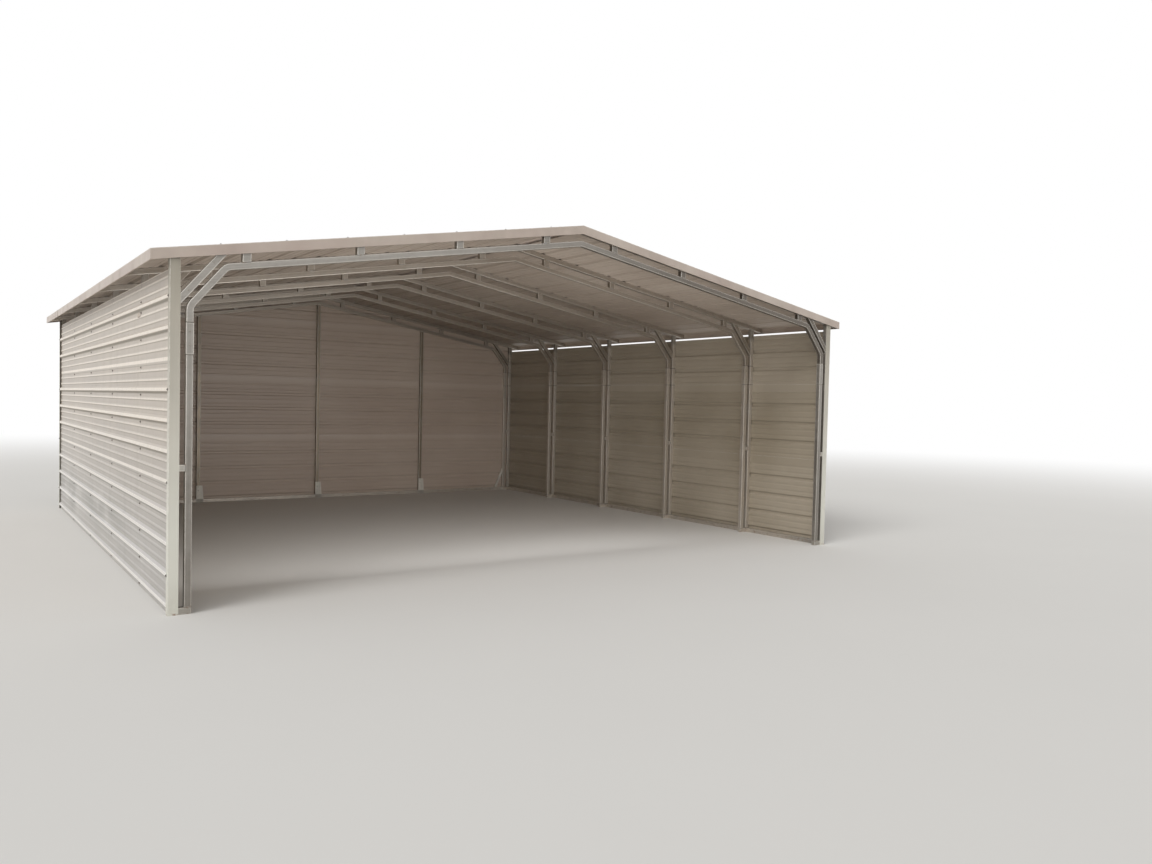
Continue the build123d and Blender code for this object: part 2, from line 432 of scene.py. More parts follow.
        # Algae and chalk in clouds 400 mm high and a metre long.
        drawn = node("VectorMath MULTIPLY", {0: sheet.coords, 1: (2.5, 1.0, 2.5)})
        cloud = node(
            "TexNoise", {"Vector": drawn, "Scale": 1.0, "Detail": 2.0, "Roughness": 0.5}
        )
        algae = node("MapRange", {0: cloud, 1: 0.38, 2: 0.62, 4: 0.6})
        chalk = node("MapRange", {0: cloud, 1: 0.46, 2: 0.26, 4: 0.35})
        coats = []
        for smudge in self.smudges:
            oval = node("Math MULTIPLY", {0: self.oval(sheet, smudge), 1: sheet.outside})
            for share, tone in ((algae, self.algae), (chalk, self.dust)):
                coats.append((node("Math MULTIPLY", {0: oval, 1: share}), tone))
        # Soot and painted shade on what looks down, and bright dust and painted highlight on what
        # looks up; less of both indoors.
        share = node("MapRange", {0: sheet.inside, 3: 1.0, 4: 0.3})
        under = node("MapRange", {0: sheet.lean, 1: -0.25, 2: -0.65, 4: self.flank_soot_and_shade})
        under = node("Math MULTIPLY", {0: under, 1: share})
        dirt_and_shade = node("Math MAXIMUM", {0: dirt_and_shade, 1: under})
        dust_and_highlight = node("MapRange", {0: sheet.lean, 1: 0.25, 2: 0.65, 4: self.flank_dust_and_highlight})
        dust_and_highlight = node("Math MULTIPLY", {0: dust_and_highlight, 1: share})
        # Indoors, dust and painted light lie in the grooves behind the ribs, 60 mm wide, against
        # their shade.
        off_rib = node("Math ABSOLUTE", {0: sheet.from_rib})
        groove = node("MapRange", {0: off_rib, 1: 0.034, 2: 0.022, 4: self.groove_dust_and_light})
        groove = node("Math MULTIPLY", {0: groove, 1: sheet.inside})
        dust_and_highlight = node("Math MAXIMUM", {0: dust_and_highlight, 1: groove})
        return coats + [(dirt_and_shade, self.grime_and_shade), (dust_and_highlight, self.dust)], dirt_and_shade

    def wear(self, sheet: SheetMap) -> bpy.types.Node:
        """Works out where the paint is rubbed and where painted highlights lie.

        Args:
            sheet: where on the sheets a point lies.

        Returns:
            The node that gives how far it is rubbed and painted light.
        """
        node = sheet.node
        # The high ribs are rubbed over their tops, with a painted highlight there, 28 mm wide.
        off_rib = node("Math ABSOLUTE", {0: sheet.from_rib})
        high = node("MapRange", {0: off_rib, 1: 0.0165, 2: 0.0115})
        # So are the low ribs, a third of the spacing away, though less near the ground.
        off_low = node("Math SUBTRACT", {0: off_rib, 1: LAYOUT.rib_spacing / 3})
        off_low = node("Math ABSOLUTE", {0: off_low})
        low = node("MapRange", {0: off_low, 1: 0.0095, 2: 0.0055, 4: 0.8})
        kept = node("MapRange", {0: sheet.height, 1: 0.5, 2: 1.5, 3: 0.1})
        low = node("Math MULTIPLY", {0: low, 1: kept})
        edge = node("Math MAXIMUM", {0: high, 1: low})
        # A side wall's top edge, where the next rib begins, is rubbed 9 mm wide, with a painted
        # highlight there.
        below = node("Math SUBTRACT", {0: self.top, 1: sheet.height})
        lip = node("MapRange", {0: below, 1: 0.012, 2: 0.006, 4: 0.9})
        edge = node("Math MAXIMUM", {0: edge, 1: lip})
        breaks = node("MapRange", {0: sheet.specks, 1: 0.35, 2: 0.65, 3: 0.65, 4: 0.95})
        worn = node("Math MULTIPLY", {0: edge, 1: breaks})
        return node("Math MULTIPLY", {0: worn, 1: sheet.outside})

    def stains(self, sheet: SheetMap) -> list[Coat]:
        """Works out the rust at the foot, the single marks of painted shade and highlight, and
        the stains at the screws.

        Args:
            sheet: where on the sheets a point lies.

        Returns:
            The coats, from the lowest.
        """
        node = sheet.node
        cut = node("MapRange", {0: sheet.height, 1: 0.016, 2: 0.002})
        eaten = node("MapRange", {0: sheet.specks, 1: 0.56, 2: 0.66})
        coats = [(node("Math MULTIPLY", {0: cut, 1: eaten}), RED_OXIDE)]
        # The marks are the painted shade and the painted highlight on the dent's two sides.
        for spot, tone in self.marks:
            share = node("MapRange", {0: self.oval(sheet, spot), 1: 0.1, 2: 0.4})
            coats.append((node("Math MULTIPLY", {0: share, 1: sheet.outside}), tone))
        # A ring round each screw, and a run 80 mm long below it.
        half_bay = self.screw_pitch / 2
        beside = node("Math WRAP", {0: sheet.along, 1: half_bay, 2: -half_bay})
        above = node("Math ADD", {0: sheet.from_rib, 1: self.screw_drop})
        to_screw = node("CombineXYZ", {0: beside, 1: above})
        apart = (node("VectorMath LENGTH", {0: to_screw}), "Value")
        ring = node("MapRange", {0: apart, 1: 0.020, 2: 0.009, 4: 0.5})
        aside = node("Math ABSOLUTE", {0: beside})
        narrow = node("MapRange", {0: aside, 1: 0.012, 2: 0.003})
        fades = node("MapRange", {0: above, 1: -0.08, 2: -0.005, 4: 0.45})
        below = node("Math LESS_THAN", {0: above, 1: 0.0})
        run = node("Math MULTIPLY", {0: narrow, 1: fades})
        run = node("Math MULTIPLY", {0: run, 1: below})
        stain = node("Math MAXIMUM", {0: run, 1: ring})
        coats.append((node("Math MULTIPLY", {0: stain, 1: sheet.outside}), self.stain))
        return coats

    def layers(self, node: Adder) -> dict:
        """Lays the paint, the weather, the wear, the painted light and shade, and the stains.

        Args:
            node: adds a node to the material's tree.

        Returns:
            What goes on the shader's inputs.
        """
        sheet = self.map_sheets(node)
        faded = self.fading(sheet)
        weather, dirt_and_shade = self.weather(sheet)
        coats = [(sheet.inside, self.back), (faded, self.dust)] + weather
        coats.append((self.wear(sheet), self.rubbed_and_highlight))
        colour = lay_coats(node, linear(self.face), coats)
        # Low down the paint is greyer, less and less up to 1.4 m: painted cooler light near the
        # ground.
        warmth = node("MapRange", {0: sheet.height, 1: 0.4, 2: 1.4, 3: self.foot_warmth})
        warmth = node("Math MAXIMUM", {0: warmth, 1: sheet.inside})
        grey = node("HueSaturation", {"Saturation": warmth, "Color": colour})
        colour = lay_coats(node, grey, self.stains(sheet))
        dull = node("Math MULTIPLY_ADD", {0: dirt_and_shade, 1: 0.4, 2: self.roughness})
        dull = node("Math MULTIPLY_ADD", {0: faded, 1: 0.3, 2: dull})
        # The flats between the ribs buckle a little, half a metre apart.
        relief = node("TexNoise", {"Vector": sheet.coords, "Scale": 2.2, "Detail": 1.0})
        for dent in self.dents:
            hollow = {0: self.oval(sheet, dent), 1: -self.dent_depth, 2: relief}
            relief = node("Math MULTIPLY_ADD", hollow)
        strength = node("MapRange", {0: sheet.inside, 3: 1.0, 4: 0.25})
        bump = node(
            "Bump", {"Height": relief, "Distance": self.buckle_height, "Strength": strength}
        )
        return {"Base Color": colour, "Roughness": dull, "IOR": 1.5, "Normal": bump}


@dataclass(frozen=True)
class FoldLine:
    """Where a trim is folded: two planes that cross on the fold, as normals and offsets."""

    first: tuple[Triple, float]
    second: tuple[Triple, float]


@dataclass(frozen=True)
class SatinTrimPaint(Finish):
    """Polyester coil paint on folded galvanised flashing.

    The same baked satin paint as the sheets, a shade browner on the roof. It is smooth,
    with long soft waves from the folder, and rubs thin along the fold, where it takes a
    painted highlight too. On the corners it is paler low down, with chalk and painted
    light from the ground, and darker under the eave with painted shade.
    """

    fold: FoldLine
    streak: Triple
    face: str = "#C2BCAC"
    grime_and_shade: str = "#8C8475"
    dust: str = "#DAD2C4"
    chalk: str = "#DCDBD0"
    rubbed_and_highlight: str = "#EDEAE2"
    roughness: float = 0.42
    wear: float = 0.7
    # How much painted shade darkens the trim under the eave.
    eave: float = 0.0
    lap: float | None = None

    def layers(self, node: Adder) -> dict:
        """Lays the paint, the chalk and painted light low down, the dirt and painted shade, the
        rubbed and highlighted fold, and the rust.

        Args:
            node: adds a node to the material's tree.

        Returns:
            What goes on the shader's inputs.
        """
        coords = (node("TexCoord"), "Object")
        where = node("SeparateXYZ", {0: coords})
        height = (where, "Z")
        patches = node(
            "TexNoise", {"Vector": coords, "Scale": 1.3, "Detail": 4.0, "Roughness": 0.6}
        )
        fade = node("MapRange", {0: patches, 1: 0.3, 2: 0.7, 4: 0.4})
        # The corners' trims are paler and greyer towards the ground: chalk, and painted light
        # from the bright ground.
        chalk = node("MapRange", {0: height, 1: 1.7, 2: 0.6, 4: 0.85})
        # Rain streaks about 120 mm wide.
        stretched = node("VectorMath MULTIPLY", {0: coords, 1: self.streak})
        rain = node("TexNoise", {"Vector": stretched, "Scale": 1.0, "Detail": 5.0})
        streaks = node("MapRange", {0: rain, 1: 0.46, 2: 0.76, 4: 0.24})
        spots = node(
            "TexNoise", {"Vector": coords, "Scale": 34.0, "Detail": 6.0, "Roughness": 0.7}
        )
        low = node(
            "MapRange", {0: height, 1: 0.34, 2: 0.0, 4: 0.35}, interpolation_type="SMOOTHSTEP"
        )
        dirt_and_shade = node("Math MULTIPLY_ADD", {0: low, 1: spots, 2: streaks})
        # Painted shade darkens the corners' trims under the eave.
        high = node("MapRange", {0: height, 1: 1.75, 2: 2.45, 4: self.eave})
        dirt_and_shade = node("Math ADD", {0: dirt_and_shade, 1: high})
        if self.lap is not None:
            # Dirt gathers behind the end of the upper piece, up to 90 mm along the lower.
            past = node("Math SUBTRACT", {0: (where, "Y"), 1: self.lap})
            held = node("MapRange", {0: past, 1: 0.09, 2: 0.0, 4: 0.95})
            begun = node("Math GREATER_THAN", {0: past, 1: 0.0})
            held = node("Math MULTIPLY", {0: held, 1: begun})
            dirt_and_shade = node("Math MAXIMUM", {0: dirt_and_shade, 1: held})
        # Paint rubbed thin along the fold, with a painted highlight on it; a 2 mm line, drawn 9
        # mm wide to show.
        mirrored = node("VectorMath ABSOLUTE", {0: coords})
        away = []
        for normal, offset in (self.fold.first, self.fold.second):
            reach = (node("VectorMath DOT_PRODUCT", {0: mirrored, 1: normal}), "Value")
            away.append(node("Math SUBTRACT", {0: reach, 1: offset}))
        pair = node("CombineXYZ", {0: away[0], 1: away[1]})
        apart = (node("VectorMath LENGTH", {0: pair}), "Value")
        edge = node("MapRange", {0: apart, 1: 0.007, 2: 0.002})
        breaks = node("MapRange", {0: spots, 1: 0.4, 2: 0.6, 3: 0.15, 4: self.wear})
        worn = node("Math MULTIPLY", {0: edge, 1: breaks})
        # Rust at the cut end that stands on the ground.
        cut = node("MapRange", {0: height, 1: 0.02, 2: 0.002})
        eaten = node("MapRange", {0: spots, 1: 0.48, 2: 0.58})
        rust = node("Math MULTIPLY", {0: cut, 1: eaten})
        coats = (
            (fade, self.dust), (chalk, self.chalk), (dirt_and_shade, self.grime_and_shade), (worn, self.rubbed_and_highlight),
            (rust, RED_OXIDE),
        )
        rough = node("Math MULTIPLY_ADD", {0: dirt_and_shade, 1: 0.4, 2: self.roughness})
        waves = node("TexNoise", {"Vector": coords, "Scale": 4.0, "Detail": 1.0})
        return {
            "Base Color": lay_coats(node, linear(self.face), coats),
            "Roughness": rough,
            "IOR": 1.5,
            "Normal": node("Bump", {"Height": waves, "Distance": 0.002, "Strength": 1.0}),
        }


class TubeRun(Enum):
    """Which way a set of tubes runs: (turn about Y, length of its marks along X, Y and Z)."""

    UPRIGHT = (0.0, (0.008, 0.008, 0.9))
    SLOPING = (LAYOUT.roof_angle, (0.9, 0.008, 0.008))
    LENGTHWISE = (0.0, (0.008, 0.9, 0.008))
    ACROSS = (0.0, (0.9, 0.008, 0.008))


@dataclass(frozen=True)
class GalvanisedTubeSteel(Finish):
    """Roll-formed and galvanised square tube.

    The rolls leave faint marks along it. Zinc freezes in flakes, the spangle, whose tones
    differ a little, and it dulls to a soft light grey with chalky white bloom, with a
    painted highlight on its corners, dirt and rust near the ground, and dirt in the step
    at the end of each sleeve. The first frame is darker, with painted shade on its right
    slope; painted shade darkens the legs' tops under the eave; and past the first frame
    each set takes a tone painted for its light indoors.
    """

    run: TubeRun
    seams: tuple[float, ...] = ()
    zinc: str = "#9D9891"
    bloom: str = "#AFABA4"
    # The tone painted past the first frame for the light the tubes get indoors.
    indoor_light_tone: str = "#C8BFB3"
    # The tone of the first frame's darker parts.
    dull: str = "#655D54"
    edge: str = "#EBE6DD"
    mud_and_shade: str = "#7A746B"
    splash: float = 0.65
    foot: float = 0.0
    # How much painted shade darkens the legs' tops under the eave.
    eave: float = 0.0
    darkened: float = 0.0
    darkened_along: tuple[str, float, float] = ("X", -1.5, 1.5)
    roughness: float = 0.4
    metallic: float = 0.72
    flake: float = 0.012
    drawn: float = 1.7

    def bare_zinc(
        self, node: Adder, coords: Output, flakes: bpy.types.Node, kept: bpy.types.Node
    ) -> tuple[bpy.types.Node, bpy.types.Node]:
        """Lays the bare zinc with its flakes and roll marks, and its painted tones.

        Args:
            node: adds a node to the material's tree.
            coords: the place of a point.
            flakes: the pattern of the flakes.
            kept: how far in past the first frame the point lies, from 0 to 1.

        Returns:
            The colour, and where the zinc has chalky bloom.
        """
        turn, marks = self.run.value
        tones = node("SeparateColor", {0: (flakes, "Color")})
        tone = node("MapRange", {0: tones, 3: 0.95, 4: 1.02})
        mirrored = node("VectorMath ABSOLUTE", {0: coords})
        along = {"Vector": mirrored, "Rotation": (0.0, turn, 0.0), "Scale": marks}
        drawn = node("Mapping", along, vector_type="TEXTURE")
        rolls = node("TexNoise", {"Vector": drawn, "Scale": 1.0, "Detail": 2.0})
        mark = node("MapRange", {0: rolls, 1: 0.3, 2: 0.7, 3: 0.88, 4: 1.08})
        tone = node("Math MULTIPLY", {0: tone, 1: mark})
        # The first frame is darker: painted shade over its slope to the right, and its legs
        # darker downwards.
        axis, start, end = self.darkened_along
        place = (node("SeparateXYZ", {0: coords}), axis)
        darkened = node("MapRange", {0: place, 1: start, 2: end, 4: self.darkened})
        coats = ((darkened, self.dull), (kept, self.indoor_light_tone))
        metal = lay_coats(node, linear(self.zinc), coats)
        cloud = node(
            "TexNoise", {"Vector": coords, "Scale": 4.5, "Detail": 7.0, "Roughness": 0.62}
        )
        bloom = node("MapRange", {0: cloud, 1: 0.48, 2: 0.78, 4: 0.55})
        clean = node("Math SUBTRACT", {0: 1.0, 1: darkened})
        bloom = node("Math MULTIPLY", {0: bloom, 1: clean})
        return node("VectorMath SCALE", {0: metal, "Scale": tone}), bloom

    def soil(
        self, node: Adder, coords: Output, height: Output, kept: bpy.types.Node
    ) -> tuple[bpy.types.Node, bpy.types.Node]:
        """Works out the dirt, the painted shade and the rust.

        Args:
            node: adds a node to the material's tree.
            coords: the place of a point.
            height: its height above the ground.
            kept: how far in past the first frame it lies, from 0 to 1.

        Returns:
            How dirty and shaded it is, and how rusty.
        """
        # Specks about 40 mm wide break up the splash and the rust.
        specks = node(
            "TexNoise", {"Vector": coords, "Scale": 26.0, "Detail": 6.0, "Roughness": 0.7}
        )
        low = node(
            "MapRange", {0: height, 1: 0.42, 2: 0.0, 4: self.splash},
            interpolation_type="SMOOTHSTEP",
        )
        dirt_and_shade = node("Math MULTIPLY", {0: low, 1: specks})
        share = node("MapRange", {0: kept, 3: 1.0, 4: 0.3})
        dirt_and_shade = node("Math MULTIPLY", {0: dirt_and_shade, 1: share})
        # The plates' feet over the rail, 50 mm high, are darker.
        foot = node("MapRange", {0: height, 1: 0.058, 2: 0.046, 4: self.foot})
        # Painted shade darkens the legs' tops in the gap under the eave, from 2.5 m up.
        eave = node("MapRange", {0: height, 1: 2.48, 2: 2.54, 4: self.eave})
        kinds = [foot, eave]
        for seam in self.seams:
            # The dirty step is 2 mm high, drawn 9 mm high to show.
            off = node("Math SUBTRACT", {0: height, 1: seam})
            off = node("Math ABSOLUTE", {0: off})
            kinds.append(node("MapRange", {0: off, 1: 0.0065, 2: 0.003, 4: 0.75}))
        for kind in kinds:
            dirt_and_shade = node("Math MAXIMUM", {0: dirt_and_shade, 1: kind})
        cut = node("MapRange", {0: height, 1: 0.07, 2: 0.0})
        eaten = node("MapRange", {0: specks, 1: 0.56, 2: 0.66})
        return dirt_and_shade, node("Math MULTIPLY", {0: cut, 1: eaten})

    def layers(self, node: Adder) -> dict:
        """Lays the zinc, its bloom, the painted highlight on the corners, the dirt and painted
        shade, and the rust.

        Args:
            node: adds a node to the material's tree.

        Returns:
            What goes on the shader's inputs.
        """
        coords = (node("TexCoord"), "Object")
        place = node("SeparateXYZ", {0: coords})
        # Past the first frame the tubes take their indoor tone, painted light for how they are
        # lit inside.
        first = LAYOUT.frame_ys[0]
        kept = node("MapRange", {0: (place, "Y"), 1: first + 0.05, 2: first + 0.6})
        # Flakes of 12 mm are finer than a pixel here, so they are drawn 1.7 times as large.
        flakes = node("TexVoronoi", {"Vector": coords, "Scale": 1 / (self.flake * self.drawn)})
        zinc, bloom = self.bare_zinc(node, coords, flakes, kept)
        # The corners take a painted highlight; the line is 4 mm wide, drawn 13 mm wide to show.
        rounded = node("Bevel", {"Radius": 0.013}, samples=6)
        flat = (node("NewGeometry"), "True Normal")
        agree = (node("VectorMath DOT_PRODUCT", {0: rounded, 1: flat}), "Value")
        rubbed_and_highlight = node("MapRange", {0: agree, 1: 0.995, 2: 0.9, 4: 0.95})
        dirt_and_shade, rust = self.soil(node, coords, (place, "Z"), kept)
        coats = ((bloom, self.bloom), (rubbed_and_highlight, self.edge), (dirt_and_shade, self.mud_and_shade), (rust, RED_OXIDE))
        dull = node("Math ADD", {0: bloom, 1: dirt_and_shade})
        relief = {"Height": (flakes, "Distance"), "Distance": 0.0004, "Strength": 0.5}
        return {
            "Base Color": lay_coats(node, zinc, coats),
            "Metallic": node("MapRange", {0: dull, 3: self.metallic, 4: 0.2}),
            "Roughness": node("Math MULTIPLY_ADD", {0: dull, 1: 0.35, 2: self.roughness}),
            "Normal": node("Bump", relief),
        }


@dataclass(frozen=True)
class MottledFinish(Finish):
    """A small part's finish whose two tones mix in blotches of a real size."""

    light: str
    dark: str
    blotch: float
    roughness: float
    metallic: float
    relief: float = 0.0003

    def layers(self, node: Adder) -> dict:
        """Lays the two tones.

        Args:
            node: adds a node to the material's tree.

        Returns:
            What goes on the shader's inputs.
        """
        coords = (node("TexCoord"), "Object")
        blotches = node("TexNoise", {"Vector": coords, "Scale": 1 / self.blotch, "Detail": 5.0})
        share = node("MapRange", {0: blotches, 1: 0.4, 2: 0.62})
        smooth, rough = self.roughness - 0.1, self.roughness + 0.15
        relief = {"Height": blotches, "Distance": self.relief, "Strength": 1.0}
        return {
            "Base Color": lay_coats(node, linear(self.light), [(share, self.dark)]),
            "Metallic": self.metallic,
            "Roughness": node("MapRange", {0: blotches, 3: smooth, 4: rough}),
            "Normal": node("Bump", relief),
        }


# Zinc-plated screw heads, weathered: grey with brown specks a few millimetres wide.
SCREW_ZINC = MottledFinish("zinc_plated_screw_head", "#77736C", "#5A4A3C", 0.006, 0.5, 0.7)
# Plated screws under the roof, sheltered: still light, with grey specks.
SHELTERED_ZINC = MottledFinish("sheltered_screw_head", "#A8A39A", "#878075", 0.006, 0.45, 0.6)
# Sealing washers of moulded rubber: near black and dull.
WASHER_RUBBER = MottledFinish("rubber_sealing_washer", "#2A2826", "#3A3733", 0.008, 0.75, 0.0)
# Weld beads brushed over with zinc paint: dull grey, rusting through in places.
WELD_PAINT = MottledFinish("zinc_painted_weld", "#8E8E8B", "#77604C", 0.02, 0.6, 0.3, 0.0006)


# Meshes ---------------------------------------------------------------------------------


@dataclass
class SmallParts:
    """Collects many small solids as one piece, with a finish for each face."""

    name: str
    finishes: tuple[MottledFinish, ...]
    slot: str
    points: list[Vector] = field(default_factory=list)
    faces: list[tuple[tuple[int, ...], int]] = field(default_factory=list)

    def stack(
        self, place: Matrix, sides: int, rings: Sequence[tuple[float, float]], finish: int
    ) -> None:
        """Adds a solid of stacked rings, closed at both ends.

        Args:
            place: where it stands; its own Z is the way that the rings go up.
            sides: corners of each ring.
            rings: radius and height of each ring, from the foot.
            finish: which of the finishes it takes.
        """
        start = len(self.points)
        for radius, height in rings:
            for n in range(sides):
                turn = 2 * math.pi * n / sides
                corner = Vector((radius * math.cos(turn), radius * math.sin(turn), height))
                self.points.append(place @ corner)
        for ring in range(len(rings) - 1):
            low = start + ring * sides
            for n in range(sides):
                far = (n + 1) % sides
                side = (low + n, low + far, low + sides + far, low + sides + n)
                self.faces.append((side, finish))
        top = start + (len(rings) - 1) * sides
        self.faces.append((tuple(range(start + sides - 1, start - 1, -1)), finish))
        self.faces.append((tuple(range(top, top + sides)), finish))

    def build(self) -> None:
        """Makes the piece and ties it to the building."""
        mesh = bpy.data.meshes.new(self.name)
        outlines, finish_of = zip(*self.faces)
        mesh.from_pydata([tuple(point) for point in self.points], [], outlines)
        for finish in self.finishes:
            mesh.materials.append(finish.material())
        mesh.polygons.foreach_set("material_index", finish_of)
        mesh.validate()
        mesh.update()
        piece = bpy.data.objects.new(self.name, mesh)
        bpy.context.scene.collection.objects.link(piece)
        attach(piece, "root")
        log.info("%s: %d faces", self.name, len(mesh.polygons))


def standing(point: Vector, outward: Vector, turn: float = 0.0) -> Matrix:
    """A place at a point whose own Z looks outward, turned about it."""
    look = outward.to_track_quat("Z", "Y").to_matrix().to_4x4()
    return Matrix.Translation(point) @ look @ Matrix.Rotation(turn, 4, "Z")


@dataclass(frozen=True)
class WasherScrew:
    """A self-drilling screw: hex head, flange, and a sealing washer where it is outdoors.

    The heads outdoors are weathered zinc on rubber washers, and those under the roof bare.
    """

    across_flats: float = 0.008
    head_height: float = 0.0045
    chamfer: float = 0.0008
    flange_radius: float = 0.0062
    flange_height: float = 0.0012
    washer_radius: float = 0.0095
    washer_height: float = 0.0022
    sunk: float = 0.0005
    flange_bite: float = 0.0002
    head_bite: float = 0.0003
    sealed: bool = True

    def add_to(self, parts: SmallParts, place: Matrix) -> None:
        """Adds this screw to a set of small parts.

        Args:
            parts: the set; its first finish is the head's, its second the washer's.
            place: where the screw goes through the surface; its own Z looks outward.
        """
        base = -self.sunk
        if self.sealed:
            top = self.washer_height
            rings = [(self.washer_radius, base), (self.washer_radius, top * 0.6)]
            parts.stack(place, 12, rings + [(self.flange_radius, top)], 1)
            base = top - self.flange_bite
        flange = base + self.flange_height
        rings = [(self.flange_radius, base), (self.flange_radius * 0.94, flange)]
        parts.stack(place, 12, rings, 0)
        corner = self.across_flats / 2 / math.cos(math.pi / 6)
        top = flange + self.head_height
        rings = [(corner, flange - self.head_bite), (corner, top - self.chamfer)]
        parts.stack(place, 6, rings + [(corner * 0.82, top)], 0)

    def build_set(
        self, name: str, slot: str, places: Iterable[Place], dice: random.Random
    ) -> None:
        """Makes one piece of many of this screw.

        Args:
            name: the piece's name.
            slot: its material slot, which the piece keeps but does not use.
            places: the point of each screw, and the way that its head looks.
            dice: draws how far each head is turned.
        """
        finishes = (SCREW_ZINC, WASHER_RUBBER) if self.sealed else (SHELTERED_ZINC,)
        parts = SmallParts(name, finishes, slot)
        for point, outward in places:
            self.add_to(parts, standing(point, outward, dice.uniform(0, 1)))
        parts.build()


# Sub-assemblies -------------------------------------------------------------------------


def put_on(node: bpy.types.Object, material: bpy.types.Material) -> None:
    """Puts one material on every slot of a node.

    Args:
        node: the solid of one subcomponent.
        material: its finish.
    """
    if not node.data.materials:
        node.data.materials.append(material)
    for slot in node.material_slots:
        slot.material = material


@dataclass
class TubeFrames:
    """The frames of doubled square tube, with their sleeves, spacers, braces and rails."""

    edge_radius: float = 0.004
    sharp: float = math.radians(40)
    sleeve_step: float = 0.003
    upright: tuple[str, ...] = (
        "outer_legs_left", "outer_legs_right", "inner_legs_left", "inner_legs_right",
        "leg_sleeves",
    )
    posts: tuple[str, ...] = ("back_posts",)
    sloping: tuple[str, ...] = (
        "outer_rafters_left", "outer_rafters_right", "rafter_spacers_left",
        "rafter_spacers_right", "knee_braces_left", "knee_braces_right",
    )
    lengthwise: tuple[str, ...] = ("base_rail_left", "base_rail_right")
    across: tuple[str, ...] = ("base_rail_back", "leg_spacers", "foot_tubes")
    plates: tuple[str, ...] = ("post_brackets", "corner_braces")

    def round_edges(self, node: bpy.types.Object) -> None:
        """Rounds the long edges of the tubes of one node.

        Args:
            node: the solid of one subcomponent.
        """
        weld = node.modifiers.new("joined_corners", "WELD")
        weld.merge_threshold = 1e-5
        bevel = node.modifiers.new("rolled_edges", "BEVEL")
        bevel.width = self.edge_radius
        bevel.segments = 2
        bevel.limit_method = "ANGLE"
        bevel.angle_limit = self.sharp

    def dress(self) -> None:
        """Gives every tube and plate its finish, and the tubes their rounded edges."""
        low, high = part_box("leg_sleeves")
        bows = tuple(f"inner_bow_{n}" for n in range(1, LAYOUT.frames + 1))
        seams = (low.z - self.sleeve_step, high.z + self.sleeve_step)
        # The indoor tones are painted light: lighter on most tubes and plates, darker on the back
        # posts as painted shade.
        plate = GalvanisedTubeSteel(
            "galvanised_plate_steel", TubeRun.UPRIGHT, zinc="#BEB9B0", indoor_light_tone="#E6E2D8",
            splash=0.1, foot=0.6, roughness=0.6, metallic=0.08,
        )
        finishes = {
            GalvanisedTubeSteel(
                "galvanised_upright_tube", TubeRun.UPRIGHT, seams, eave=0.75, darkened=0.36,
                darkened_along=("Z", 1.6, 1.05),
            ): self.upright,
            GalvanisedTubeSteel(
                "galvanised_back_post", TubeRun.UPRIGHT, indoor_light_tone="#908474"
            ): self.posts,
            GalvanisedTubeSteel(
                "galvanised_sloping_tube", TubeRun.SLOPING, seams, indoor_light_tone="#A99F93", darkened=0.85
            ): self.sloping + bows,
            GalvanisedTubeSteel("galvanised_side_rail", TubeRun.LENGTHWISE): self.lengthwise,
            GalvanisedTubeSteel(
                "galvanised_cross_tube", TubeRun.ACROSS, zinc="#ACA79E"
            ): self.across,
            plate: self.plates,
        }
        for finish, names in finishes.items():
            for name in names:
                put_on(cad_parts[name], finish.material())
                if finish is not plate:
                    self.round_edges(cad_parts[name])
            log.info("%s: %d nodes", finish.name, len(names))


@dataclass
class SheetSkins:
    """The ribbed sheets of the three walls and the roof."""

    bay: float = 1.524
    post_spacing: float = 1.8288

    def dress(self) -> None:
        """Gives each set of sheets its own paint."""
        last = LAYOUT.frame_ys[-1]
        # Up the roof's sheets from the eave, for a point on the rafters' tops.
        eave = LAYOUT.eave - math.sin(LAYOUT.roof_angle) * LAYOUT.ridge
        side_wall = (SheetRun.SIDE_WALL, self.bay, last, 0.0, LAYOUT.side_top)
        left = SatinSheetPaint(
            "left_wall_sheet_paint", *side_wall,
            smudges=(Spot((-0.4, 0.42), (1.7, 0.3)), Spot((2.1, 0.36), (2.0, 0.34))),
            dents=(Spot((-2.474, 2.295), (0.09, 0.032)),),
            # The painted shade and the painted highlight on the dent's two sides.
            marks=(
                (Spot((-2.485, 2.290), (0.120, 0.032)), "#8C7864"),
                (Spot((-2.455, 2.300), (0.105, 0.026)), "#BFB1A2"),
            ),
        )
        # The back coats' tones differ from wall to wall as painted light and shade, for the light
        # each gets inside.
        back = SatinSheetPaint(
            "back_wall_sheet_paint", SheetRun.BACK_WALL, self.post_spacing, 0.0,
            back="#BDAB9D", groove_dust_and_light=0.12,
        )
        roof = SatinSheetPaint(
            "roof_sheet_paint", SheetRun.ROOF, self.bay, last, eave, back="#9C8E82",
            flank_dust_and_highlight=0.3, flank_soot_and_shade=0.0, foot_warmth=1.0,
        )
        paints = {
            "wall_sheets_left": left,
            "wall_sheets_right": SatinSheetPaint("right_wall_sheet_paint", *side_wall),
            "wall_sheets_back": back,
            "roof_sheets_left": roof,
            "roof_sheets_right": roof,
        }
        for name, paint in paints.items():
            put_on(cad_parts[name], paint.material())
            log.info("%s: %s", name, paint.name)


